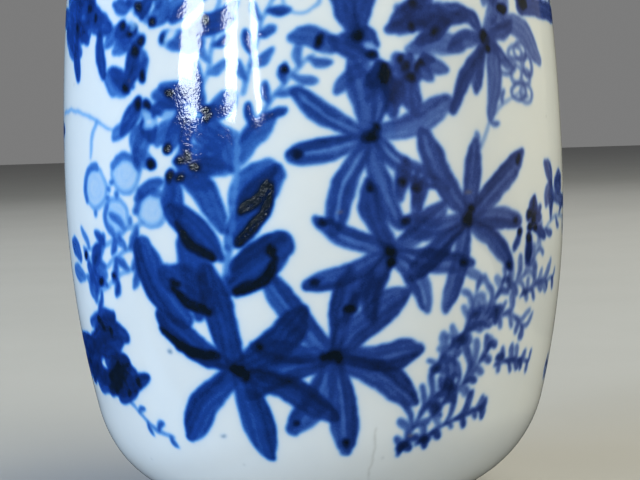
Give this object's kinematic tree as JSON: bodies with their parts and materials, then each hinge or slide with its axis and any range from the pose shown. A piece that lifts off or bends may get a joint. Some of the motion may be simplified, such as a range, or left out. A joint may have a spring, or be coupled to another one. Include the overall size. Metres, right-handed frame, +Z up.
{
  "type": "sake bottle",
  "caption": "Porcelain sake bottle: rounded body, narrow neck, flared mouth and turned foot, with blue brush-painted plants under a clear glaze.",
  "frame": {"origin": "centre of the plane that the foot rests on", "axes": "+Z up along the bottle's axis; the side seen in the picture faces -Y"},
  "size_m": [0.0816, 0.0816, 0.1515],
  "materials": {
    "porcelain": "unglazed fired porcelain, matt",
    "painted_glaze": "glossy clear glaze over cobalt blue brush painting on white",
    "clear_glaze": "glossy clear glaze over white, faintly blue"
  },
  "bodies": {
    "root": {"foot_ring": "porcelain", "base_bowl": "porcelain", "body_wall": "porcelain", "shoulder": "porcelain", "neck": "porcelain", "mouth_lip": "porcelain", "body_glaze": "painted_glaze", "shoulder_glaze": "painted_glaze", "neck_and_lip_glaze": "clear_glaze", "inside_glaze": "clear_glaze", "foot_recess_glaze": "clear_glaze"}
  },
  "joints": []
}
